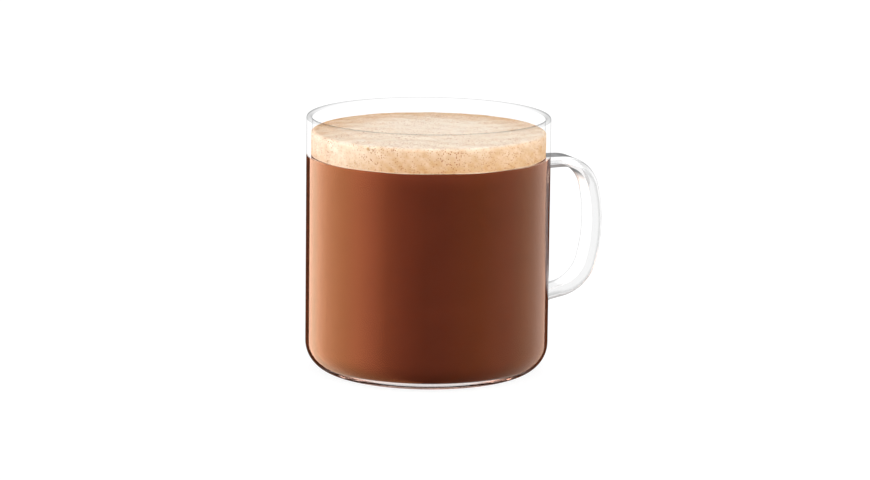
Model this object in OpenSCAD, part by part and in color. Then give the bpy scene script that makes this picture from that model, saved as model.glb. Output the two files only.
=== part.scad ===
// Hot chocolate with a layer of milk foam, in a clear glass mug with one strap handle.
// Origin: on the mug's axis, at the underside of its base. +Z is up and +X points at the handle.

/* [Mug] */
// Outer diameter of the straight glass wall
mug_d = 88; // [60:1:120]
// Height of the rim above the table
mug_h = 93; // [75:1:140]
// Thickness of the glass wall
wall_t = 2; // [1.5:0.1:4]
// Thickness of the glass base
base_t = 2.7; // [1.5:0.1:8]
// Outer rounding between the wall and the base
corner_r = 10.5; // [5:0.5:16]

/* [Drink] */
// Depth of the foam's edge below the rim
headspace = 5.2; // [2:0.1:20]
// Thickness of the milk foam at its edge
foam_t = 9; // [3:0.5:20]
// How far the middle of the foam stands above its edge
foam_crown = 0.4; // [0.2:0.1:2]

/* [Handle] */
// Width of the glass strap, across the handle
strap_w = 12.5; // [8:0.5:20]
// Thickness of the glass strap
strap_t = 3.75; // [2.5:0.25:6]
// How far the handle stands out from the wall
reach = 22.7; // [21:0.1:35]
// Distance from the rim down to the top of the upper arm
arm_drop = 17; // [8:0.5:30]
// Outer radius of the bend at the top
top_bend_r = 14.4; // [8:0.2:16]
// Turn of the bend at the top, in degrees
top_bend_a = 76; // [65:1:85]
// Outer radius of the gently bowed grip
grip_r = 56; // [40:1:70]
// Turn of the bowed grip, in degrees
grip_a = 30; // [24:1:36]
// Outer radius of the bend at the bottom
low_bend_r = 16.6; // [8:0.2:18]
// Fall of the lower arm towards the wall, in degrees
low_arm_fall = 10; // [4:1:20]

/* [Hidden] */
// Facets of the preview: the curves are true ones in the finished solids
$fn = 128;
mug_r = mug_d / 2;
cavity_r = mug_r - wall_t;
// The rounding inside the corner leaves glass of an even thickness
cavity_corner_r = max(corner_r - wall_t, wall_t);
foam_top = mug_h - headspace;
foam_base = foam_top - foam_t;
// Steps in the outline of the foam's crowned top
crown_steps = 10;
rim_r = wall_t / 2;
// The arms are rooted halfway through the glass that lies behind the strap's edges
wall_edge_x = sqrt(mug_r * mug_r - strap_w * strap_w / 4);
root_x = (cavity_r + wall_edge_x) / 2;
arm_top = mug_h - arm_drop;
// The grip is furthest out where it hangs straight down, part of the way along its bow
top_bend_x = top_bend_r * sin(top_bend_a);
grip_bow_x = grip_r * (1 - sin(top_bend_a));
top_arm_l = reach + mug_r - root_x - top_bend_x - grip_bow_x;
// Headings of the strap, in degrees turned down from +X, where each stretch ends
grip_end_a = top_bend_a + grip_a;
low_arm_a = 180 - low_arm_fall;
// Greatest turn between two rings of the strap, and facets round each of its edges
ring_step = 5;
edge_facets = 8;

// Half outline of a round vessel from z = 0 up: straight side, rounded lower corner
module vessel_half(r, h, corner) {
    translate([0, corner])
        square([r, h - corner]);
    square([r - corner, corner]);
    translate([r - corner, corner])
        intersection() {
            circle(r = corner);
            translate([0, -corner])
                square([corner, corner]);
        }
}

// Half outline of the glass: a wall and base of even thickness, and a fully round rim
module glass_half() {
    difference() {
        vessel_half(mug_r, mug_h - rim_r, corner_r);
        translate([0, base_t])
            vessel_half(cavity_r, mug_h, cavity_corner_r);
    }
    translate([mug_r - rim_r, mug_h - rim_r])
        circle(r = rim_r);
}

// A place on the strap's outer face is [x, z, heading]; a bend turns it from heading h0 to h1
function bend_end(place, r, h1) =
    let (h0 = place[2])
        [place[0] + r * (sin(h1) - sin(h0)), place[1] + r * (cos(h1) - cos(h0)), h1];

// The places along a bend, after its first
function bend_places(place, r, h1) =
    let (h0 = place[2], steps = ceil((h1 - h0) / ring_step))
        [for (i = [1 : steps]) bend_end(place, r, h0 + (h1 - h0) * i / steps)];

// Cross-section of the strap as [y, depth under the outer face], with both edges fully round
strap_section = [
    for (side = [1, -1])
        for (i = [0 : edge_facets])
            let (a = side * 90 - 180 * i / edge_facets)
                [
                    side * (strap_w - strap_t) / 2 + cos(a) * strap_t / 2,
                    strap_t / 2 - sin(a) * strap_t / 2
                ]
];

// A point of the section at a place on the strap
function strap_point(place, at) =
    [place[0] - at[1] * sin(place[2]), at[0], place[1] - at[1] * cos(place[2])];

// The same, carried along the strap's heading until it lies in the plane where the arms are rooted
function root_point(place, at) =
    let (p = strap_point(place, at), l = (root_x - p[0]) / cos(place[2]))
        [root_x, p[1], p[2] - l * sin(place[2])];

// The strap is one section swept along its arms, bends and grip
module handle() {
    upper_root = [root_x, arm_top, 0];
    top_start = [root_x + top_arm_l, arm_top, 0];
    grip_start = bend_end(top_start, top_bend_r, top_bend_a);
    low_start = bend_end(grip_start, grip_r, grip_end_a);
    low_end = bend_end(low_start, low_bend_r, low_arm_a);
    places = concat(
        [top_start],
        bend_places(top_start, top_bend_r, top_bend_a),
        bend_places(grip_start, grip_r, grip_end_a),
        bend_places(low_start, low_bend_r, low_arm_a)
    );
    rings = concat(
        [[for (at = strap_section) root_point(upper_root, at)]],
        [for (place = places) [for (at = strap_section) strap_point(place, at)]],
        [[for (at = strap_section) root_point(low_end, at)]]
    );
    sides = len(strap_section);
    last = len(rings) - 1;
    points = [for (ring = rings) for (point = ring) point];
    skin = [
        for (ring = [0 : last - 1])
            for (i = [0 : sides - 1])
                let (a = ring * sides + i, b = ring * sides + (i + 1) % sides)
                    for (face = [[a, b, b + sides], [a, b + sides, a + sides]])
                        face
    ];
    upper_cap = [for (i = [sides - 1 : -1 : 0]) i];
    low_cap = [for (i = [0 : sides - 1]) last * sides + i];
    polyhedron(points = points, faces = concat(skin, [upper_cap, low_cap]));
}

module glass_mug() {
    color([0.9, 0.93, 0.93, 0.35]) {
        rotate_extrude()
            glass_half();
        handle();
    }
}

module cocoa() {
    color([0.42, 0.18, 0.11])
        translate([0, 0, base_t])
            rotate_extrude()
                vessel_half(cavity_r, foam_base - base_t, cavity_corner_r);
}

module milk_foam() {
    // The crown falls from the middle to the edge as the square of the distance
    crown = [
        for (i = [0 : crown_steps])
            let (out = i / crown_steps)
                [cavity_r * out, foam_top + foam_crown * (1 - out * out)]
    ];
    color([0.93, 0.84, 0.72])
        rotate_extrude()
            polygon(concat(crown, [[cavity_r, foam_base], [0, foam_base]]));
}

glass_mug();
cocoa();
milk_foam();
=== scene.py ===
import math

import bpy
import numpy as np
from mathutils import Matrix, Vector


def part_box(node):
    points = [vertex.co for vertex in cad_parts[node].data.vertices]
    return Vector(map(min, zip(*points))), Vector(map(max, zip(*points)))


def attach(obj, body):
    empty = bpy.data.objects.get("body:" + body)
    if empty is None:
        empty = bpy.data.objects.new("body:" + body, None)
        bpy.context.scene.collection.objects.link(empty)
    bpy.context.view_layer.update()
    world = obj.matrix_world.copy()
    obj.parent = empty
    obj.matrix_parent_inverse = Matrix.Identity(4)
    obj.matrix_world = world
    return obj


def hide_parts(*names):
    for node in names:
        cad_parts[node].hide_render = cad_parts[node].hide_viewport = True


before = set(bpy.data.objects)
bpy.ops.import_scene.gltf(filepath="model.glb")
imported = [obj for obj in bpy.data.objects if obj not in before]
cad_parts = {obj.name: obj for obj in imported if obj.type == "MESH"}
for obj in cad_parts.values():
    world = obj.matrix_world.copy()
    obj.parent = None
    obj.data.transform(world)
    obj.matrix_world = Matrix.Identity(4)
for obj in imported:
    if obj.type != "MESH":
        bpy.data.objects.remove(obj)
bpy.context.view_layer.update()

bl_info = {
    "name": "Hot chocolate in a glass mug",
    "version": (1, 0, 0),
    "blender": (4, 5, 0),
    "location": "3D View > Sidebar > Drink",
    "description": "Builds hot chocolate with milk foam in a clear glass mug, and a small studio round it",
    "category": "Add Mesh",
}

MM = 0.001
MUG_LO, MUG_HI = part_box("glass_mug")
COCOA_LO, COCOA_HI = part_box("cocoa")
FOAM_LO, FOAM_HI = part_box("milk_foam")
MUG_R = -MUG_LO[1]
CAVITY_R = COCOA_HI[0]
SEED = 7
GLASS_IOR = 1.47
DRINK_IOR = 1.35
# Points round each lathed skin, and how many of them a ring keeps at least when the handle is well welded
MUG_TURNS = 384
WELDED_TURNS = 300
DRINK_TURNS = 256
FOAM_TURNS = 640
# Slow swells, fine relief and the step down at the glass, on the foam's top
SWELL_WAVE, SWELL_HEIGHT = 11 * MM, 0.12 * MM
GRAIN_WAVE, GRAIN_HEIGHT = 2.4 * MM, 0.035 * MM
SHOULDER_WIDTH, SHOULDER_DROP = 1.6 * MM, 0.8 * MM
FOAM_SETTLED = 0.15 * MM
# Cosine and sine of 22 degrees, the bearing along which the streaks in the foam run. It runs from the
# camera's left to its right, and along it the foam's side is painted lighter at the left, where the key light
# falls
POUR_COS, POUR_SIN = 0.927, 0.375
# The one large bubble caught against the glass
LARGE_BUBBLE_BEARING = math.radians(218)
LARGE_BUBBLE_DEPTH = 1.6 * MM
LARGE_BUBBLE_SIZE = 0.75 * MM
# Soft lights: direction as right, away and up from the camera's bearing; sharpness; strength
SKY_LOBES = (
    ((-0.96, -0.17, 0.21), 16.0, 6.7),
    ((0.89, -0.41, 0.21), 16.0, 6.7),
    ((0.0, 0.0, 1.0), 3.0, 0.9),
    ((0.0, -0.97, 0.15), 6.0, 3.3),
)
SKY_AMBIENT = 0.22
# The dark gap behind the mug, whose mirror image draws the dark edges
SKY_GAP = (0.1, 0.04, 0.02)
# What mirrors in the glass and the drink at each bearing in degrees: 0 is straight behind, minus is left.
# The colours are set for the front view only, and tint the drink. From behind they show as a dark
# band with a hard edge, and from above as an orange side.
SKY_MIRROR = (
    (-179, (0.2, 0.04, 0.02)),
    (-158, (1.1, 0.22, 0.1)),
    (-143, (2.25, 0.55, 0.22)),
    (-128, (4.6, 1.27, 0.55)),
    (-112, (6.4, 2.0, 0.85)),
    (-94, (6.5, 2.45, 1.0)),
    (-73, (6.5, 2.8, 1.33)),
    (-55, (6.1, 3.1, 1.8)),
    (-47, (4.8, 2.9, 1.85)),
    (-34, (3.9, 2.35, 1.6)),
    (-30.5, (3.9, 2.3, 1.6)),
    (-29.5, SKY_GAP),
    (27.5, SKY_GAP),
    (28.5, (1.8, 1.15, 0.85)),
    (47, (1.9, 1.27, 0.96)),
    (75, (1.8, 1.0, 0.6)),
    (96, (1.5, 0.65, 0.37)),
    (130, (0.73, 0.27, 0.07)),
    (165, (0.2, 0.05, 0.03)),
)
SKY_PEAK = 6.5
# Grey that the sky has for rays neither mirrored nor scattered, and its strength overhead for mirrored rays
SKY_PLAIN = 0.6
SKY_TOP_MIRROR = 1.0
# Share of rays that pass the handle straight, the colour of its painted dark edge line (painted shade) and
# the strength of its faint painted glow
HANDLE_CLEAR = 0.6
HANDLE_PAINTED_OUTLINE = 0.12
HANDLE_PAINTED_GLOW = 0.14
# Colour of the painted grey line, a painted shade, at the edge of the wall above the drink, and how narrow it
# is there and at the rim
EDGE_PAINTED_SHADE = 0.45
EDGE_LINE_POWER = 18.0
RIM_LINE_POWER = 2.6
# How much lower the two kinds of glass change over on a face seen from inside the wall
FAR_FACE_DROP = 6 * MM
# Lower than the true ratio of drink to glass, 1.35 / 1.47, so that the mirror at the drink's edge is wider
DRINK_EDGE_IOR = 0.77
# Share of the foam's height at which its top meets the glass
FOAM_EDGE_SHARE = 9 / 9.4
# The card's glow, its grey for scattered rays and for all others, and the share left in a long mirrored ray
FLOOR_GLOW = 0.9
FLOOR_DIM = 0.3
FLOOR_SEEN = 0.18
FLOOR_MIRROR = 0.12
FLOOR_FAR = 90 * MM
FLOOR_HALF = 4.0
FLOOR_LOW = -0.02 * MM


# ---------------------------------------------------------------- colour, nodes and meshes

def linear(hex_colour):
    """An sRGB colour such as "c08040" as linear red, green, blue and alpha 1."""
    parts = [int(hex_colour[i:i + 2], 16) / 255 for i in (0, 2, 4)]
    return tuple(c / 12.92 if c <= 0.04045 else ((c + 0.055) / 1.055) ** 2.4 for c in parts) + (1.0,)


def add_node(tree, kind, settings=None, values=None, links=None):
    """Adds a node, sets its settings and input values, and links its inputs to other nodes' outputs.

    Inputs go by name or number. A Map Range has its value at 0, its range at 1 and 2, the new one at 3 and 4.
    """
    node = tree.nodes.new(kind)
    for key, value in (settings or {}).items():
        setattr(node, key, value)
    for key, value in (values or {}).items():
        node.inputs[key].default_value = value
    for key, output in (links or {}).items():
        tree.links.new(output, node.inputs[key])
    return node


def new_material(name):
    """A material with an empty node tree and its output node."""
    material = bpy.data.materials.new(name)
    material.use_nodes = True
    tree = material.node_tree
    tree.nodes.clear()
    return material, tree, add_node(tree, "ShaderNodeOutputMaterial")


def make_mesh(name, points, quads, triangles):
    """A smooth mesh from arrays of points, four-cornered faces and three-cornered faces."""
    mesh = bpy.data.meshes.new(name)
    corners = np.concatenate([quads.ravel(), triangles.ravel()])
    sizes = np.concatenate([np.full(len(quads), 4), np.full(len(triangles), 3)])
    starts = np.concatenate([[0], np.cumsum(sizes)[:-1]])
    mesh.vertices.add(len(points))
    mesh.vertices.foreach_set("co", points.ravel())
    mesh.loops.add(len(corners))
    mesh.loops.foreach_set("vertex_index", corners)
    mesh.polygons.add(len(sizes))
    mesh.polygons.foreach_set("loop_start", starts)
    mesh.update(calc_edges=True)
    mesh.validate()
    mesh.polygons.foreach_set("use_smooth", np.ones(len(mesh.polygons), bool))
    return mesh


def make_piece(name, mesh, material, replaces=()):
    """An object for a mesh, with its material, riding on the mug."""
    piece = bpy.data.objects.new(name, mesh)
    bpy.context.scene.collection.objects.link(piece)
    mesh.materials.append(material)
    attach(piece, "root")
    if replaces:
        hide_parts(*replaces)
    return piece


def grid_quads(rows, columns):
    """Faces of a grid of points, rows by columns, whose last column joins its first."""
    i, j = np.meshgrid(np.arange(rows - 1), np.arange(columns), indexing="ij")
    k = (j + 1) % columns
    corners = [i * columns + j, i * columns + k, (i + 1) * columns + k, (i + 1) * columns + j]
    return np.stack(corners, -1).reshape(-1, 4)


def end_fans(rows, columns):
    """Triangles that close a grid's first and last row on the two points that follow the grid's own."""
    j = np.arange(columns)
    k = (j + 1) % columns
    base = (rows - 1) * columns
    first, last = rows * columns, rows * columns + 1
    return np.concatenate([np.stack([np.full(columns, first), k, j], -1),
                           np.stack([np.full(columns, last), base + j, base + k], -1)])


def lathe(radii, heights, turns):
    """A closed skin round Z: every pair of radius and height makes one ring, and the two ends meet in a pole.

    radii and heights are one number a ring, or one a ring and turn; point = (r cos a, r sin a, z).
    """
    a = np.linspace(0, 2 * np.pi, turns, endpoint=False)[None, :]
    r = np.broadcast_to(np.reshape(radii, (len(radii), -1)), (len(radii), turns))
    z = np.broadcast_to(np.reshape(heights, (len(heights), -1)), (len(heights), turns))
    rings = np.stack([r * np.cos(a), r * np.sin(a), z], -1).reshape(-1, 3)
    rows = len(radii)
    poles = np.array([[0, 0, z[0].mean()], [0, 0, z[-1].mean()]])
    return np.concatenate([rings, poles]), grid_quads(rows, turns), end_fans(rows, turns)


def arc(centre_r, centre_z, radius, start, stop, steps):
    """Radii and heights along an arc, from one angle to another in degrees, counted from outwards to up."""
    a = np.radians(np.linspace(start, stop, steps))
    return centre_r + radius * np.cos(a), centre_z + radius * np.sin(a)


def waves(x, y, wavelength, count, rng):
    """Smooth unevenness of about -1 to 1: a sum of plane waves in random directions, near one wavelength.

    height = sum of sin(k (x cos t + y sin t) + phase) over the waves, over the root of their count, over 1.4.
    """
    total = np.zeros(np.broadcast(x, y).shape)
    for turn, phase, stretch in zip(rng.uniform(0, np.pi, count), rng.uniform(0, 2 * np.pi, count),
                                    rng.uniform(0.7, 1.5, count)):
        k = 2 * np.pi / (wavelength * stretch)
        total += np.sin(k * (x * np.cos(turn) + y * np.sin(turn)) + phase)
    return total / math.sqrt(count) / 1.4


def float_attribute(mesh, name, values):
    """Stores one number a point on a mesh, for its material to read."""
    layer = mesh.attributes.new(name, "FLOAT", "POINT")
    layer.data.foreach_set("value", np.asarray(values, dtype=np.float32).ravel())


# ---------------------------------------------------------------- what a user would change

class DrinkMugSizes(bpy.types.PropertyGroup):
    """Sizes of the glass mug that the frame's boxes don't give."""
    corner: bpy.props.FloatProperty(
        name="Corner", description="Outer rounding between the wall and the base", default=10.5 * MM,
        unit="LENGTH")
    strap_width: bpy.props.FloatProperty(
        name="Strap width", description="Width of the glass strap of the handle", default=12.5 * MM,
        unit="LENGTH")
    strap_thickness: bpy.props.FloatProperty(
        name="Strap thickness", description="Thickness of the glass strap", default=3.75 * MM, unit="LENGTH")
    arm_drop: bpy.props.FloatProperty(
        name="Arm drop", description="From the rim down to the upper arm", default=17 * MM, unit="LENGTH")
    top_bend: bpy.props.FloatProperty(
        name="Top bend", description="Outer radius of the bend at the top", default=14.4 * MM, unit="LENGTH")
    grip_bow: bpy.props.FloatProperty(
        name="Grip bow", description="Outer radius of the bowed grip", default=56 * MM, unit="LENGTH")
    low_bend: bpy.props.FloatProperty(
        name="Low bend", description="Outer radius of the bend at the bottom", default=16.6 * MM,
        unit="LENGTH")
    top_turn: bpy.props.FloatProperty(
        name="Top turn", description="Turn of the top bend", default=math.radians(76), subtype="ANGLE")
    grip_turn: bpy.props.FloatProperty(
        name="Grip turn", description="Turn of the bowed grip", default=math.radians(30), subtype="ANGLE")
    low_fall: bpy.props.FloatProperty(
        name="Low arm fall", description="Slope of the lower arm", default=math.radians(10), subtype="ANGLE")
    root_flare: bpy.props.FloatProperty(
        name="Root flare", description="How much the strap swells where it is fused to the wall, as a share",
        default=0.12, min=0, max=0.5)


class DrinkContents(bpy.types.PropertyGroup):
    """The drink and its foam."""
    reach: bpy.props.FloatProperty(
        name="Reach", description="How far the contents reach into the glass, so that no air shows",
        default=0.25 * MM, unit="LENGTH")
    line_wave: bpy.props.FloatProperty(
        name="Line wave", description="Unevenness of the line between drink and foam", default=0.12 * MM,
        unit="LENGTH")
    cocoa_colour: bpy.props.StringProperty(
        name="Cocoa colour", description="Colour of the drink, as an sRGB hex value", default="6c3321")
    foam_light: bpy.props.StringProperty(
        name="Foam, light", description="Colour of the clean foam, as an sRGB hex value", default="f4e6d2")
    foam_dark: bpy.props.StringProperty(
        name="Foam, dark", description="Colour of the foam stained by cocoa, as an sRGB hex value",
        default="c69a69")
    # The holes' colour is painted shade in the pinholes, partly the browner drink seen through them
    foam_hole_shade: bpy.props.StringProperty(
        name="Foam, holes", description="Colour of the pinholes in the foam, as an sRGB hex value",
        default="a86a42")
    bubbles: bpy.props.IntProperty(
        name="Bubbles", description="Number of larger bubbles on the top; twice as many lie along the glass",
        default=260, min=0)


class DrinkStudio(bpy.types.PropertyGroup):
    """Camera and light."""
    turn: bpy.props.FloatProperty(
        name="Turn", description="Camera's bearing round the mug", default=math.radians(-22), subtype="ANGLE")
    rise: bpy.props.FloatProperty(
        name="Rise", description="Camera's angle above the table", default=math.radians(10.87),
        subtype="ANGLE")
    roll: bpy.props.FloatProperty(
        name="Roll", description="Camera's tilt", default=math.radians(0.68), subtype="ANGLE")
    distance: bpy.props.FloatProperty(
        name="Distance", description="From the camera to the mug", default=1.4, unit="LENGTH")
    lens: bpy.props.FloatProperty(
        name="Lens", description="Focal length in millimetres", default=160.26)
    aim_height: bpy.props.FloatProperty(
        name="Aim height", description="Height that the camera looks at", default=47.42 * MM, unit="LENGTH")
    aim_right: bpy.props.FloatProperty(
        name="Aim right", description="How far right of the axis it looks", default=2.7 * MM, unit="LENGTH")


# ---------------------------------------------------------------- materials

def clear_glass():
    """Borosilicate glass, blown in a mould and fire-polished.

    To the eye: colourless and even, with sharp reflections and dark edges. Round the drink it is true glass.
    In the handle and above the drink it bends light less or not at all. Painted dark lines stand for its
    edges there: painted shade for the dark surroundings that real glass bends and mirrors at its edges. The
    handle also has a faint painted glow.
    """
    material, tree, out = new_material("borosilicate_glass")
    glass = add_node(tree, "ShaderNodeBsdfPrincipled",
                     values={"Base Color": (1, 1, 1, 1), "Roughness": 0.0, "IOR": GLASS_IOR,
                             "Transmission Weight": 1.0})
    place = add_node(tree, "ShaderNodeTexCoord")
    along = add_node(tree, "ShaderNodeSeparateXYZ", links={0: place.outputs["Object"]})
    edge = add_node(tree, "ShaderNodeLayerWeight", values={"Blend": 0.5})
    # The handle lets most rays straight through and bends the rest, with a painted dark edge line, painted
    # shade, and a faint even painted glow
    beyond = add_node(tree, "ShaderNodeMapRange", values={1: MUG_R + 0.1 * MM, 2: MUG_R + 1.0 * MM},
                      links={0: along.outputs["X"]})
    painted_outline = add_node(tree, "ShaderNodeMapRange", values={1: 0.66, 2: 0.85, 3: 1.0, 4: HANDLE_PAINTED_OUTLINE},
                       links={0: edge.outputs["Facing"]})
    bent = add_node(tree, "ShaderNodeBsdfRefraction", values={"IOR": GLASS_IOR, "Roughness": 0.0},
                    links={"Color": painted_outline.outputs["Result"]})
    through = add_node(tree, "ShaderNodeBsdfTransparent", links={"Color": painted_outline.outputs["Result"]})
    handle = add_node(tree, "ShaderNodeMixShader", values={0: HANDLE_CLEAR},
                      links={1: bent.outputs["BSDF"], 2: through.outputs["BSDF"]})
    painted_glow = add_node(tree, "ShaderNodeEmission", values={"Strength": HANDLE_PAINTED_GLOW})
    handle = add_node(tree, "ShaderNodeAddShader",
                      links={0: handle.outputs["Shader"], 1: painted_glow.outputs["Emission"]})
    lower = add_node(tree, "ShaderNodeMixShader",
                     links={0: beyond.outputs["Result"], 1: glass.outputs["BSDF"],
                            2: handle.outputs["Shader"]})
    # The thin wall above the drink bends nothing, and is seen as a painted grey line, painted shade, at each
    # edge and at the rim.
    # A ray that runs on inside the wall comes out lower down, so a face seen from inside changes over lower
    facing = add_node(tree, "ShaderNodeNewGeometry")
    path = add_node(tree, "ShaderNodeLightPath")
    seen = add_node(tree, "ShaderNodeMath", settings={"operation": "LESS_THAN"}, values={1: 0.5},
                    links={0: path.outputs["Diffuse Depth"]})
    far_face = add_node(tree, "ShaderNodeMath", settings={"operation": "MULTIPLY"},
                        links={0: facing.outputs["Backfacing"], 1: seen.outputs["Value"]})
    height = add_node(tree, "ShaderNodeMath", settings={"operation": "MULTIPLY_ADD"},
                      values={1: FAR_FACE_DROP}, links={0: far_face.outputs["Value"], 2: along.outputs["Z"]})
    above = add_node(tree, "ShaderNodeMapRange", values={1: FOAM_LO[2], 2: FOAM_LO[2] + 0.8 * MM},
                     links={0: height.outputs["Value"]})
    power = add_node(tree, "ShaderNodeMapRange",
                     values={1: MUG_HI[2] - 1.4 * MM, 2: MUG_HI[2] - 0.9 * MM,
                             3: EDGE_LINE_POWER, 4: RIM_LINE_POWER},
                     links={0: along.outputs["Z"]})
    # The grey edge line is painted shade, darkest where the face is seen edge-on
    line = add_node(tree, "ShaderNodeMath", settings={"operation": "POWER"},
                    links={0: edge.outputs["Facing"], 1: power.outputs["Result"]})
    edge_shade = add_node(tree, "ShaderNodeMapRange", values={1: 0.0, 2: 1.0, 3: 1.0, 4: EDGE_PAINTED_SHADE},
                    links={0: line.outputs["Value"]})
    straight = add_node(tree, "ShaderNodeBsdfTransparent", links={"Color": edge_shade.outputs["Result"]})
    both = add_node(tree, "ShaderNodeMixShader",
                    links={0: above.outputs["Result"], 1: lower.outputs["Shader"],
                           2: straight.outputs["BSDF"]})
    tree.links.new(both.outputs["Shader"], out.inputs["Surface"])
    return material


def cocoa_drink(look):
    """Hot chocolate: cocoa and milk fat held in milk.

    To the eye: an opaque, even brown with the slightest marbling, and a mirror where seen at a low angle.
    """
    material, tree, out = new_material("hot_chocolate_drink")
    place = add_node(tree, "ShaderNodeTexCoord")
    marbling = add_node(tree, "ShaderNodeTexNoise",
                        values={"Scale": 1 / (22 * MM), "Detail": 3.0, "Distortion": 1.2},
                        links={"Vector": place.outputs["Object"]})
    base = linear(look.cocoa_colour)
    ramp = add_node(tree, "ShaderNodeValToRGB", links={"Fac": marbling.outputs["Fac"]})
    ramp.color_ramp.elements[0].position = 0.3
    ramp.color_ramp.elements[0].color = tuple(c * 0.95 for c in base[:3]) + (1,)
    ramp.color_ramp.elements[1].position = 0.7
    ramp.color_ramp.elements[1].color = tuple(c * 1.05 for c in base[:3]) + (1,)
    # Against the glass, which bends light more than the drink does, the drink is a mirror at a low angle.
    # The mirror fades out just below the foam
    low_angle = add_node(tree, "ShaderNodeFresnel", values={"IOR": DRINK_EDGE_IOR})
    mirrored = add_node(tree, "ShaderNodeMapRange", values={1: 0.2, 2: 1.0, 3: 0.0, 4: 1.0},
                        links={0: low_angle.outputs["Fac"]})
    along = add_node(tree, "ShaderNodeSeparateXYZ", links={0: place.outputs["Object"]})
    below = add_node(tree, "ShaderNodeMapRange",
                     values={1: FOAM_LO[2] - 1.5 * MM, 2: FOAM_LO[2] - 0.3 * MM, 3: 1.0, 4: 0.0},
                     links={0: along.outputs["Z"]})
    mirrored = add_node(tree, "ShaderNodeMath", settings={"operation": "MULTIPLY"},
                        links={0: mirrored.outputs["Result"], 1: below.outputs["Result"]})
    skin = add_node(tree, "ShaderNodeMix", settings={"data_type": "RGBA"}, values={"B": (1.0, 0.97, 0.96, 1)},
                    links={"Factor": mirrored.outputs["Value"], "A": ramp.outputs["Color"]})
    smooth = add_node(tree, "ShaderNodeMapRange", values={1: 0.0, 2: 0.5, 3: 0.6, 4: 0.03},
                      links={0: mirrored.outputs["Value"]})
    drink = add_node(tree, "ShaderNodeBsdfPrincipled",
                     values={"IOR": DRINK_IOR, "Specular IOR Level": 0.0},
                     links={"Base Color": skin.outputs["Result"], "Metallic": mirrored.outputs["Value"],
                            "Roughness": smooth.outputs["Result"]})
    tree.links.new(drink.outputs["BSDF"], out.inputs["Surface"])
    return material


def milk_froth(look):
    """Frothed milk with a little cocoa in it: foam of bubbles from a tenth of a millimetre up.

    To the eye: matte cream, stained peach towards the drink, with a grain of tiny bubbles. Its colour also
    carries painted light on the side and painted shade in the holes and the bubbles' middles.
    """
    material, tree, out = new_material("milk_froth")
    place = add_node(tree, "ShaderNodeTexCoord")
    # The attribute holds how brown the foam is, mixed with painted light on the side and painted shade in the
    # bubbles' middles
    stain_and_shade = add_node(tree, "ShaderNodeAttribute", settings={"attribute_name": "stain_and_shade"})
    # Pinholes: one in each cell of about half a millimetre, of uneven size, and fainter between patches.
    # Their darker colour is painted shade in the holes, partly the browner drink seen through them
    cells = add_node(tree, "ShaderNodeTexVoronoi", values={"Scale": 1 / (0.56 * MM)},
                     links={"Vector": place.outputs["Object"]})
    size = add_node(tree, "ShaderNodeSeparateColor", links={"Color": cells.outputs["Color"]})
    reach = add_node(tree, "ShaderNodeMapRange", values={1: 0.12, 2: 1.0, 3: 0.0, 4: 0.44},
                     links={0: size.outputs["Red"]})
    inside = add_node(tree, "ShaderNodeMath", settings={"operation": "SUBTRACT"},
                      links={0: reach.outputs["Result"], 1: cells.outputs["Distance"]})
    hole = add_node(tree, "ShaderNodeMapRange", values={1: -0.06, 2: 0.06, 3: 0.0, 4: 1.0},
                    links={0: inside.outputs["Value"]})
    patch = add_node(tree, "ShaderNodeTexNoise", values={"Scale": 1 / (9 * MM), "Detail": 2.0},
                     links={"Vector": place.outputs["Object"]})
    where = add_node(tree, "ShaderNodeMapRange", values={1: 0.38, 2: 0.58, 3: 0.3, 4: 1.0},
                     links={0: patch.outputs["Fac"]})
    pinholes = add_node(tree, "ShaderNodeMath", settings={"operation": "MULTIPLY"},
                        links={0: hole.outputs["Result"], 1: where.outputs["Result"]})
    mottle = add_node(tree, "ShaderNodeTexNoise", values={"Scale": 1 / (2.2 * MM), "Detail": 5.0},
                      links={"Vector": place.outputs["Object"]})
    shift = add_node(tree, "ShaderNodeMath", settings={"operation": "MULTIPLY_ADD"},
                     values={1: 0.5, 2: -0.25}, links={0: mottle.outputs["Fac"]})
    total = add_node(tree, "ShaderNodeMath", settings={"operation": "ADD", "use_clamp": True},
                     links={0: stain_and_shade.outputs["Fac"], 1: shift.outputs["Value"]})
    stained = add_node(tree, "ShaderNodeMix", settings={"data_type": "RGBA"},
                       values={"A": linear(look.foam_light), "B": linear(look.foam_dark)},
                       links={"Factor": total.outputs["Value"]})
    colour = add_node(tree, "ShaderNodeMix", settings={"data_type": "RGBA"},
                      values={"B": linear(look.foam_hole_shade)},
                      links={"Factor": pinholes.outputs["Value"], "A": stained.outputs["Result"]})
    bump = add_node(tree, "ShaderNodeBump", settings={"invert": True},
                    values={"Strength": 0.5, "Distance": 0.1 * MM},
                    links={"Height": pinholes.outputs["Value"]})
    froth = add_node(tree, "ShaderNodeBsdfPrincipled",
                     values={"Roughness": 0.7, "Specular IOR Level": 0.2, "Subsurface Weight": 0.6,
                             "Subsurface Radius": (1.0, 0.85, 0.7), "Subsurface Scale": 0.3 * MM},
                     links={"Base Color": colour.outputs["Result"], "Normal": bump.outputs["Normal"]})
    tree.links.new(froth.outputs["BSDF"], out.inputs["Surface"])
    return material


# ---------------------------------------------------------------- shapes

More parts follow.
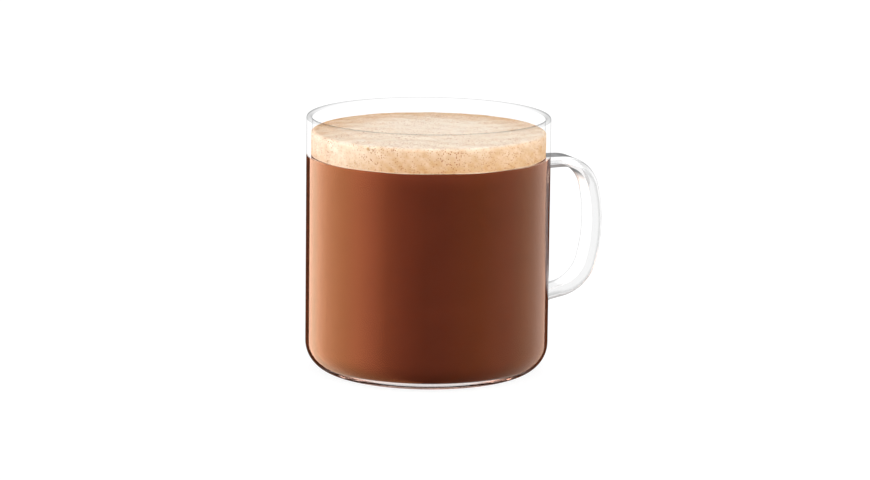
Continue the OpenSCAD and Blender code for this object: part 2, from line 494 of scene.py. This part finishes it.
def mug_profile(sizes):
    """Radii and heights of the glass, from the middle of the underside round the rim to the middle inside."""
    wall = MUG_R - CAVITY_R
    floor_z = COCOA_LO[2]
    rim_z = MUG_HI[2] - wall / 2
    corner, inner = sizes.corner, max(sizes.corner - wall, wall)
    parts = [
        (np.linspace(0.1, 1, 5)[:-1] * (MUG_R - corner), np.zeros(4)),
        arc(MUG_R - corner, corner, corner, -90, 0, 18),
        (np.full(44, MUG_R), np.linspace(corner, rim_z, 46)[1:-1]),
        arc(MUG_R - wall / 2, rim_z, wall / 2, 0, 180, 15),
        (np.full(44, CAVITY_R), np.linspace(rim_z, floor_z + inner, 46)[1:-1]),
        arc(CAVITY_R - inner, floor_z + inner, inner, 0, -90, 15),
        (np.linspace(1, 0.1, 5)[1:] * (CAVITY_R - inner), np.full(4, floor_z)),
    ]
    return np.concatenate([p[0] for p in parts]), np.concatenate([p[1] for p in parts])


def strap_path(sizes):
    """Places along the strap's outer face, as x, z and heading turned down from +X.

    Along a bend of radius r from heading h0 to h, x grows by r (sin h - sin h0) and z by r (cos h - cos h0).
    """
    root_x = (CAVITY_R + math.sqrt(MUG_R ** 2 - sizes.strap_width ** 2 / 4)) / 2
    reach_x = MUG_HI[0]
    z = MUG_HI[2] - sizes.arm_drop
    bends = [(sizes.top_bend, sizes.top_turn), (sizes.grip_bow, sizes.grip_turn)]
    bends.append((sizes.low_bend, math.pi - sizes.low_fall - sizes.top_turn - sizes.grip_turn))
    x = reach_x - sizes.top_bend * math.sin(sizes.top_turn) - sizes.grip_bow * (1 - math.sin(sizes.top_turn))
    runs = [np.stack([np.linspace(root_x, x, 9), np.full(9, z), np.zeros(9)], -1)]
    heading = 0.0
    for radius, turn in bends:
        h = np.linspace(heading, heading + turn, max(8, int(math.degrees(turn) / 2.5)) + 1)[1:]
        run = np.stack([x + radius * (np.sin(h) - math.sin(heading)),
                        z + radius * (np.cos(h) - math.cos(heading)), h], -1)
        x, z, heading = run[-1]
        runs.append(run)
    out = np.linspace(0, 1, 7)[1:, None]
    run = np.array([x, z, heading]) + out * np.array([root_x - x, (root_x - x) * -math.tan(heading), 0])
    runs.append(run)
    return np.concatenate(runs), root_x


def strap_skin(sizes):
    """The strap's closed skin: a flat section with round edges, swept along the path, its ends in the wall.

    point = (x - depth sin h, across, z - depth cos h). The section swells by the root flare times
    exp(-distance from the wall / 2.5 mm).
    """
    places, root_x = strap_path(sizes)
    half_w, half_t = sizes.strap_width / 2, sizes.strap_thickness / 2
    a = np.linspace(-np.pi / 2, np.pi / 2, 13)
    flat = np.linspace(-1, 1, 8)[1:-1] * (half_w - half_t)
    across = np.concatenate([half_w - half_t + half_t * np.cos(a), -flat,
                             half_t - half_w - half_t * np.cos(a), flat])
    depth = np.concatenate([half_t + half_t * np.sin(a), np.full(6, 2 * half_t),
                            half_t - half_t * np.sin(a), np.zeros(6)])
    x, z, h = (places[:, i][:, None] for i in range(3))
    near = np.clip((x - MUG_R) / (2.5 * MM), 0, None)
    swell = 1 + sizes.root_flare * np.exp(-near)
    across = across[None, :] * swell
    depth = half_t + (depth[None, :] - half_t) * swell
    px = x - depth * np.sin(h)
    pz = z - depth * np.cos(h)
    ends = [0, -1]
    slide = (root_x - px[ends]) / np.cos(h[ends])
    px[ends] = root_x
    pz[ends] -= slide * np.sin(h[ends])
    points = np.stack([px, across, pz], -1).reshape(-1, 3)
    rows, sides = px.shape
    caps = np.array([points[:sides].mean(0), points[-sides:].mean(0)])
    return np.concatenate([points, caps]), grid_quads(rows, sides), end_fans(rows, sides)


def outward(mesh):
    """Turns a closed mesh's faces outwards if its volume comes out negative."""
    mesh.calc_loop_triangles()
    tri = np.empty(len(mesh.loop_triangles) * 3, int)
    mesh.loop_triangles.foreach_get("vertices", tri)
    co = np.empty(len(mesh.vertices) * 3)
    mesh.vertices.foreach_get("co", co)
    p = co.reshape(-1, 3)[tri.reshape(-1, 3)]
    if np.einsum("ij,ij->i", p[:, 0], np.cross(p[:, 1], p[:, 2])).sum() < 0:
        mesh.flip_normals()


def line_height(a, look):
    """Height of the line between drink and foam round the wall, at the bearing a.

    height = foam's lower face + line_wave / 2 times the sum of g sin(n a + phase) / sqrt(n) for n = 2 to 13,
    with a random g and phase for each n.
    """
    rng = np.random.default_rng(SEED)
    wave = sum(rng.normal() * np.sin(n * a + rng.uniform(0, 2 * np.pi)) / math.sqrt(n) for n in range(2, 14))
    return FOAM_LO[2] + look.line_wave * wave / 2


def foam_height(x, y, side, look, rng):
    """Height of the foam's top at x, y: a low crown, slow swells, fine relief and a step down at the glass.

    crown = edge + (top - edge) (1 - (r / side)^2); step = drop (1 - distance to the glass / width)^2.
    """
    r = np.hypot(x, y)
    edge = FOAM_LO[2] + (FOAM_HI[2] - FOAM_LO[2]) * FOAM_EDGE_SHARE
    swell = waves(x, y, SWELL_WAVE, 9, rng) * SWELL_HEIGHT
    grain = waves(x, y, GRAIN_WAVE, 16, rng) * GRAIN_HEIGHT
    inward = np.clip((side - r) / (3 * MM), 0, 1)
    shoulder = (1 - np.clip((side - r) / SHOULDER_WIDTH, 0, 1)) ** 2 * SHOULDER_DROP
    crown = edge + (FOAM_HI[2] - edge) * (1 - (r / side) ** 2)
    return crown - FOAM_SETTLED + (swell + grain) * inward - shoulder


def foam_stain_and_shade(points, side, rng):
    """How brown the foam is drawn at each point, from 0 to 1: more towards the drink, and round the rim of
    the top, most at its back, away from the camera. On the side it also holds painted light: it is lighter
    towards the camera's left, where the key light falls.

    The clean patch in the middle of the top is an oval, drawn out into streaks where the milk was poured.
    """
    x, y, z = points.T
    r = np.hypot(x, y)
    depth = np.clip((FOAM_HI[2] - z) / (FOAM_HI[2] - FOAM_LO[2]), 0, 1)
    patches = waves(x + z, y - z, 8 * MM, 10, rng) * 0.10 + waves(x + 2 * z, y + z, 3 * MM, 14, rng) * 0.06
    along, across = x * POUR_COS - y * POUR_SIN, x * POUR_SIN + y * POUR_COS
    # On the side: browner lower down, towards the drink, and painted light, lighter towards the camera's
    # left, where the key light falls
    wall = 0.5 + 0.42 * depth - 0.4 * np.clip((-along / side - 0.3) / 0.4, 0, 1)
    last = np.clip((z - FOAM_LO[2]) / (0.45 * MM), 0, 1)
    wall = wall * (0.45 + 0.55 * last)
    bend = across + 3 * MM * np.sin(along / (9 * MM))
    oval = np.hypot((along - 3 * MM) / (24 * MM), (bend - 8 * MM) / (17 * MM))
    clean = np.clip((1.15 - oval) / 0.35, 0, 1)
    streaks = np.sin(bend / (1.5 * MM) + 2.5 * np.sin(along / (12 * MM))) * 0.08
    ring = np.clip((r / side - 0.45) / 0.5, 0, 1)
    behind = np.clip(0.5 + (across - 0.35 * along) / side, 0, 1)
    top = 0.10 + (0.02 + 0.63 * behind) * ring - 0.10 * clean + streaks
    on_top = np.clip((0.12 - depth) / 0.06, 0, 1)
    return wall * (1 - on_top) + top * on_top + patches


def bubble_mesh(name, at, normal, size, squash):
    """Small closed flattened beads.

    point = at + size (sin u cos v, sin u sin v) across + size squash cos u along normal.
    """
    rings, sides = 7, 12
    u = np.linspace(0, np.pi, rings + 2)[1:-1]
    v = np.linspace(0, 2 * np.pi, sides, endpoint=False)
    u, v = (g.ravel() for g in np.meshgrid(u, v, indexing="ij"))
    flat = np.stack([np.sin(u) * np.cos(v), np.sin(u) * np.sin(v), np.cos(u)], -1)
    flat = np.concatenate([flat, [[0, 0, 1], [0, 0, -1]]])
    helper = np.where(np.abs(normal[:, 2:]) > 0.9, [[1.0, 0, 0]], [[0, 0, 1.0]])
    first = np.cross(helper, normal)
    first /= np.linalg.norm(first, axis=1, keepdims=True)
    second = np.cross(normal, first)
    axes = np.stack([first * size[:, None], second * size[:, None], normal * (size * squash)[:, None]], 1)
    points = (at[:, None, :] + np.einsum("pk,nkc->npc", flat, axes)).reshape(-1, 3)
    # The rings run from the top down, so both kinds of face are turned round to point outwards
    quads = grid_quads(rings, sides)[:, ::-1]
    fans = end_fans(rings, sides)[:, [0, 2, 1]]
    step = (np.arange(len(at)) * len(flat))[:, None, None]
    mesh = make_mesh(name, points, (quads[None] + step).reshape(-1, 4), (fans[None] + step).reshape(-1, 3))
    # The middle is darker: painted shade where one looks into the bubble, added to the beads' own even
    # brownness
    float_attribute(mesh, "stain_and_shade", np.tile(0.5 + 0.5 * np.clip(flat[:, 2], 0, 1) ** 2, len(at)))
    return mesh


class DRINK_OT_glass_mug(bpy.types.Operator):
    """Builds the glass mug and welds its strap handle to the wall"""
    bl_idname = "drink.glass_mug"
    bl_label = "Glass mug"

    def execute(self, context):
        sizes = context.scene.drink_mug
        radii, heights = mug_profile(sizes)
        mug = make_piece("glass_mug_body", make_mesh("glass_mug_body", *lathe(radii, heights, MUG_TURNS)),
                         clear_glass(), ("glass_mug",))
        strap_mesh = make_mesh("strap", *strap_skin(sizes))
        outward(strap_mesh)
        outward(mug.data)
        strap = bpy.data.objects.new("strap", strap_mesh)
        context.scene.collection.objects.link(strap)
        weld = mug.modifiers.new("weld", "BOOLEAN")
        weld.operation = "UNION"
        weld.solver = "MANIFOLD"
        weld.object = strap
        context.view_layer.update()
        welded = bpy.data.meshes.new_from_object(mug.evaluated_get(context.evaluated_depsgraph_get()))
        mug.modifiers.clear()
        old, mug.data = mug.data, welded
        welded.name = "glass_mug_body"
        bpy.data.meshes.remove(old)
        bpy.data.objects.remove(strap)
        if len(welded.vertices) < len(radii) * WELDED_TURNS:
            raise RuntimeError("the handle could not be welded to the mug")
        welded.polygons.foreach_set("use_smooth", np.ones(len(welded.polygons), bool))
        return {"FINISHED"}


class DRINK_OT_cocoa(bpy.types.Operator):
    """Fills the mug with hot chocolate, which reaches just into the glass"""
    bl_idname = "drink.cocoa"
    bl_label = "Hot chocolate"

    def execute(self, context):
        look = context.scene.drink_contents
        sizes = context.scene.drink_mug
        a = np.linspace(0, 2 * np.pi, DRINK_TURNS, endpoint=False)
        wall = MUG_R - CAVITY_R
        side = CAVITY_R + look.reach
        low = COCOA_LO[2] - look.reach / 5
        corner = max(sizes.corner - wall, wall)
        top = line_height(a, look)
        parts = [
            (np.linspace(0.05, 1, 8)[:-1] * (side - corner), np.full(7, low)),
            arc(side - corner, low + corner, corner, -90, 0, 16),
            (np.full(24, side), np.linspace(low + corner, FOAM_LO[2] - 3 * MM, 25)[1:]),
        ]
        radii = np.concatenate([p[0] for p in parts])
        heights = np.concatenate([p[1] for p in parts])
        heights = np.repeat(heights[:, None], DRINK_TURNS, 1)
        upper = [top - 2 * MM, top - 1 * MM, top - 0.4 * MM, top]
        inner = [side, side, side, side, side - 0.6 * MM, side * 0.6, side * 0.2]
        sunk = FOAM_LO[2] - 0.8 * MM
        upper += [np.full(DRINK_TURNS, sunk)] * 3
        radii = np.concatenate([radii, inner])
        heights = np.concatenate([heights, np.stack(upper)])
        make_piece("cocoa_drink", make_mesh("cocoa_drink", *lathe(radii, heights, DRINK_TURNS)),
                   cocoa_drink(look), ("cocoa",))
        return {"FINISHED"}


class DRINK_OT_foam(bpy.types.Operator):
    """Lays the milk foam on the drink, against the glass all round"""
    bl_idname = "drink.foam"
    bl_label = "Milk foam"

    def execute(self, context):
        look = context.scene.drink_contents
        a = np.linspace(0, 2 * np.pi, FOAM_TURNS, endpoint=False)[None, :]
        side = CAVITY_R + look.reach
        line = line_height(a, look)
        rng = np.random.default_rng(SEED + 1)
        out = np.linspace(1, 0.01, 84)[:, None] ** 0.75
        x, y = side * out * np.cos(a), side * out * np.sin(a)
        z_top = foam_height(x, y, side, look, rng)
        share = np.linspace(0, 1, 34)[:, None]
        z_side = line + (z_top[:1] - line) * share
        inner = np.array([0.1, 0.9, 0.99])[:, None] * side * np.ones(line.shape)
        under = np.full(inner.shape, FOAM_LO[2] + 0.1 * MM)
        radii = np.concatenate([inner, np.full(z_side.shape, side), side * out[1:] * np.ones(line.shape)])
        heights = np.concatenate([under, z_side, z_top[1:]])
        points, quads, fans = lathe(radii, heights, FOAM_TURNS)
        mesh = make_mesh("milk_foam_body", points, quads, fans)
        float_attribute(mesh, "stain_and_shade", foam_stain_and_shade(points, side, rng))
        make_piece("milk_foam_body", mesh, milk_froth(look), ("milk_foam",))
        return {"FINISHED"}


class DRINK_OT_bubbles(bpy.types.Operator):
    """Scatters the larger bubbles over the foam and along the glass"""
    bl_idname = "drink.bubbles"
    bl_label = "Foam bubbles"

    def execute(self, context):
        look = context.scene.drink_contents
        side = CAVITY_R + look.reach
        rng = np.random.default_rng(SEED + 2)
        count = look.bubbles
        # On top: patches of small ones, the size falling off steeply
        middles = rng.uniform(-0.8, 0.8, (9, 2)) * side
        top = middles[rng.integers(0, 9, count)] + rng.normal(0, 5 * MM, (count, 2))
        top = top[np.hypot(top[:, 0], top[:, 1]) < side - 1 * MM]
        size = (0.14 + 0.34 * rng.power(0.35, len(top)) ** 2) * MM
        height = foam_height(top[:, 0], top[:, 1], side, look, np.random.default_rng(SEED + 1))
        at = np.column_stack([top, height])
        normal = np.tile([0.0, 0.0, 1.0], (len(at), 1))
        squash = np.full(len(at), 0.3)
        # Along the glass: flat against it
        wall = count * 2
        a = rng.uniform(0, 2 * np.pi, 14)[rng.integers(0, 14, wall)] + rng.normal(0, 0.09, wall)
        up = FOAM_LO[2] + rng.uniform(0.1, 0.93, wall) * (FOAM_HI[2] - FOAM_LO[2])
        at = np.concatenate([at, np.column_stack([side * np.cos(a), side * np.sin(a), up])])
        normal = np.concatenate([normal, np.column_stack([np.cos(a), np.sin(a), np.zeros(wall)])])
        size = np.concatenate([size, (0.12 + 0.3 * rng.power(0.3, wall) ** 2) * MM])
        squash = np.concatenate([squash, np.full(wall, 0.12)])
        # One large bubble caught against the glass
        out = np.array([math.cos(LARGE_BUBBLE_BEARING), math.sin(LARGE_BUBBLE_BEARING), 0.0])
        at = np.concatenate([at, [side * out + np.array([0, 0, FOAM_HI[2] - LARGE_BUBBLE_DEPTH])]])
        normal = np.concatenate([normal, [out]])
        size = np.append(size, LARGE_BUBBLE_SIZE)
        squash = np.append(squash, 0.1)
        mesh = bubble_mesh("foam_bubbles", at, normal, size, squash)
        make_piece("foam_bubbles", mesh, milk_froth(look))
        return {"FINISHED"}


# ---------------------------------------------------------------- studio

def sky_lobe(tree, direction, aim, sharpness, strength):
    """A soft light far off: strength times (cosine of the angle from its middle) to the sharpness."""
    length = math.sqrt(sum(c * c for c in aim))
    near = add_node(tree, "ShaderNodeVectorMath", settings={"operation": "DOT_PRODUCT"},
                    values={1: [c / length for c in aim]}, links={0: direction})
    cosine = add_node(tree, "ShaderNodeMath", settings={"operation": "MAXIMUM"}, values={1: 0.0},
                      links={0: near.outputs["Value"]})
    lobe = add_node(tree, "ShaderNodeMath", settings={"operation": "POWER"}, values={1: sharpness},
                    links={0: cosine.outputs["Value"]})
    return add_node(tree, "ShaderNodeMath", settings={"operation": "MULTIPLY"}, values={1: strength},
                    links={0: lobe.outputs["Value"]}).outputs["Value"]


def studio_sky(world, studio):
    """The studio's light, from all round the mug.

    It differs by the kind of ray. Rays neither mirrored nor scattered meet an even grey. Scattered rays,
    which light the drink and the foam, meet equal soft lights at the left and right, a weaker and wider one
    in front, a faint one overhead and an even ambient. Mirrored rays meet a ring of colours, warm and strong
    at the left, with a dark gap behind the mug. It draws the dark edges that glass needs on a white ground.
    """
    tree = world.node_tree
    tree.nodes.clear()
    out = add_node(tree, "ShaderNodeOutputWorld")
    place = add_node(tree, "ShaderNodeTexCoord")
    turned = add_node(tree, "ShaderNodeVectorRotate", settings={"rotation_type": "Z_AXIS"},
                      values={"Angle": -studio.turn}, links={"Vector": place.outputs["Generated"]})
    direction = turned.outputs["Vector"]
    parts = add_node(tree, "ShaderNodeSeparateXYZ", links={0: direction})
    total = None
    for aim, sharpness, strength in SKY_LOBES:
        lobe = sky_lobe(tree, direction, aim, sharpness, strength)
        total = lobe if total is None else add_node(
            tree, "ShaderNodeMath", settings={"operation": "ADD"}, links={0: total, 1: lobe}).outputs["Value"]
    soft = add_node(tree, "ShaderNodeMath", settings={"operation": "ADD"}, values={1: SKY_AMBIENT},
                    links={0: total})
    bearing = add_node(tree, "ShaderNodeMath", settings={"operation": "ARCTAN2"},
                       links={0: parts.outputs["X"], 1: parts.outputs["Y"]})
    share = add_node(tree, "ShaderNodeMapRange", values={1: -math.pi, 2: math.pi, 3: 0.0, 4: 1.0},
                     links={0: bearing.outputs["Value"]})
    ramp = add_node(tree, "ShaderNodeValToRGB", links={"Fac": share.outputs["Result"]})
    stops = ramp.color_ramp.elements
    while len(stops) < len(SKY_MIRROR):
        stops.new(1.0)
    for stop, (degrees, colour) in zip(stops, SKY_MIRROR):
        stop.position = degrees / 360 + 0.5
        stop.color = tuple(c / SKY_PEAK for c in colour) + (1,)
    # The ring dims towards straight down, where the table shades it
    near_table = add_node(tree, "ShaderNodeMapRange",
                          values={1: -0.9, 2: -0.3, 3: 0.3 * SKY_PEAK, 4: SKY_PEAK},
                          links={0: parts.outputs["Z"]})
    overhead = add_node(tree, "ShaderNodeMapRange", values={1: 0.3, 2: 0.6, 3: 0.0, 4: SKY_TOP_MIRROR},
                        links={0: parts.outputs["Z"]})
    mirror = add_node(tree, "ShaderNodeVectorMath", settings={"operation": "MULTIPLY_ADD"},
                      links={0: ramp.outputs["Color"], 1: near_table.outputs["Result"],
                             2: overhead.outputs["Result"]})
    path = add_node(tree, "ShaderNodeLightPath")
    lit = add_node(tree, "ShaderNodeMath", settings={"operation": "MINIMUM"}, values={1: 1.0},
                   links={0: path.outputs["Diffuse Depth"]})
    plain = add_node(tree, "ShaderNodeMix", settings={"data_type": "RGBA"},
                     values={"A": (SKY_PLAIN, SKY_PLAIN, SKY_PLAIN, 1)},
                     links={"Factor": path.outputs["Is Glossy Ray"], "B": mirror.outputs["Vector"]})
    colour = add_node(tree, "ShaderNodeMix", settings={"data_type": "RGBA"},
                      links={"Factor": lit.outputs["Value"], "A": plain.outputs["Result"],
                             "B": soft.outputs["Value"]})
    light = add_node(tree, "ShaderNodeBackground", links={"Color": colour.outputs["Result"]})
    tree.links.new(light.outputs["Background"], out.inputs["Surface"])


def white_card():
    """White card that glows, so that it burns out to white except where the mug shades it.

    Scattered rays meet no glow, only a grey. Rays mirrored once that have come far meet a darker card.
    """
    material, tree, out = new_material("white_card")
    path = add_node(tree, "ShaderNodeLightPath")
    seen = add_node(tree, "ShaderNodeMath", settings={"operation": "LESS_THAN"}, values={1: 0.5},
                    links={0: path.outputs["Diffuse Depth"]})
    once = add_node(tree, "ShaderNodeMath", settings={"operation": "COMPARE"}, values={1: 1.0, 2: 0.1},
                    links={0: path.outputs["Glossy Depth"]})
    # From inside the base the card is right below the glass; from the handle it is further off
    far_off = add_node(tree, "ShaderNodeMath", settings={"operation": "GREATER_THAN"}, values={1: FLOOR_FAR},
                       links={0: path.outputs["Ray Length"]})
    mirrored = add_node(tree, "ShaderNodeMath", settings={"operation": "MULTIPLY"},
                        links={0: once.outputs["Value"], 1: far_off.outputs["Value"]})
    clear = add_node(tree, "ShaderNodeMath", settings={"operation": "MULTIPLY_ADD"},
                     values={1: FLOOR_MIRROR - 1, 2: 1.0}, links={0: mirrored.outputs["Value"]})
    bright = add_node(tree, "ShaderNodeMath", settings={"operation": "MULTIPLY"},
                      links={0: seen.outputs["Value"], 1: clear.outputs["Value"]})
    glow = add_node(tree, "ShaderNodeMath", settings={"operation": "MULTIPLY"}, values={1: FLOOR_GLOW},
                    links={0: bright.outputs["Value"]})
    shade = add_node(tree, "ShaderNodeMapRange", values={1: 0.0, 2: 1.0, 3: FLOOR_DIM, 4: FLOOR_SEEN},
                     links={0: seen.outputs["Value"]})
    shade = add_node(tree, "ShaderNodeMath", settings={"operation": "MULTIPLY"},
                     links={0: shade.outputs["Result"], 1: clear.outputs["Value"]})
    card = add_node(tree, "ShaderNodeBsdfPrincipled",
                    values={"Roughness": 0.9, "Specular IOR Level": 0.0, "Emission Color": (1, 1, 1, 1)},
                    links={"Emission Strength": glow.outputs["Value"], "Base Color": shade.outputs["Value"]})
    tree.links.new(card.outputs["BSDF"], out.inputs["Surface"])
    return material


class DRINK_OT_studio(bpy.types.Operator):
    """Sets the pale floor, the soft light and the camera"""
    bl_idname = "drink.studio"
    bl_label = "Studio"

    def execute(self, context):
        scene = context.scene
        studio = scene.drink_studio
        scene.view_settings.view_transform = "Standard"
        # Light runs through the glass base and the handle by many reflections
        scene.cycles.max_bounces = 32
        scene.cycles.glossy_bounces = 24
        scene.cycles.transmission_bounces = 32
        scene.world = bpy.data.worlds.new("studio")
        scene.world.use_nodes = True
        studio_sky(scene.world, studio)
        signs = ((-1, -1), (1, -1), (1, 1), (-1, 1))
        corners = [(x * FLOOR_HALF, y * FLOOR_HALF, FLOOR_LOW) for x, y in signs]
        floor_mesh = bpy.data.meshes.new("studio_floor")
        floor_mesh.from_pydata(corners, [], [(0, 1, 2, 3)])
        floor = bpy.data.objects.new("studio_floor", floor_mesh)
        scene.collection.objects.link(floor)
        floor_mesh.materials.append(white_card())
        floor.visible_glossy = False
        back = np.array([math.sin(studio.turn) * math.cos(studio.rise),
                         -math.cos(studio.turn) * math.cos(studio.rise), math.sin(studio.rise)])
        right = np.array([math.cos(studio.turn), math.sin(studio.turn), 0])
        up = np.cross(back, right)
        tilt_right = right * math.cos(studio.roll) + up * math.sin(studio.roll)
        tilt_up = up * math.cos(studio.roll) - right * math.sin(studio.roll)
        aim = right * studio.aim_right + np.array([0, 0, studio.aim_height])
        place = np.eye(4)
        place[:3, 0], place[:3, 1], place[:3, 2] = tilt_right, tilt_up, back
        place[:3, 3] = aim + back * studio.distance
        lens = bpy.data.cameras.new("camera")
        lens.lens = studio.lens
        lens.sensor_width = 36
        lens.clip_end = 50
        camera = bpy.data.objects.new("camera", lens)
        scene.collection.objects.link(camera)
        camera.matrix_world = Matrix(place.tolist())
        scene.camera = camera
        return {"FINISHED"}


class DRINK_PT_panel(bpy.types.Panel):
    """Lists the pieces in the sidebar"""
    bl_label = "Hot chocolate"
    bl_idname = "DRINK_PT_panel"
    bl_space_type = "VIEW_3D"
    bl_region_type = "UI"
    bl_category = "Drink"

    def draw(self, context):
        for operator in OPERATORS:
            self.layout.operator(operator.bl_idname)


GROUPS = {"drink_mug": DrinkMugSizes, "drink_contents": DrinkContents, "drink_studio": DrinkStudio}
OPERATORS = (DRINK_OT_glass_mug, DRINK_OT_cocoa, DRINK_OT_foam, DRINK_OT_bubbles, DRINK_OT_studio)


def register():
    for cls in (*GROUPS.values(), *OPERATORS, DRINK_PT_panel):
        bpy.utils.register_class(cls)
    for name, cls in GROUPS.items():
        setattr(bpy.types.Scene, name, bpy.props.PointerProperty(type=cls))


def unregister():
    for name in GROUPS:
        delattr(bpy.types.Scene, name)
    for cls in (DRINK_PT_panel, *reversed(OPERATORS), *reversed(list(GROUPS.values()))):
        bpy.utils.unregister_class(cls)


def main():
    register()
    bpy.ops.drink.studio()
    bpy.ops.drink.glass_mug()
    bpy.ops.drink.cocoa()
    bpy.ops.drink.foam()
    bpy.ops.drink.bubbles()


if __name__ == "__main__":
    main()
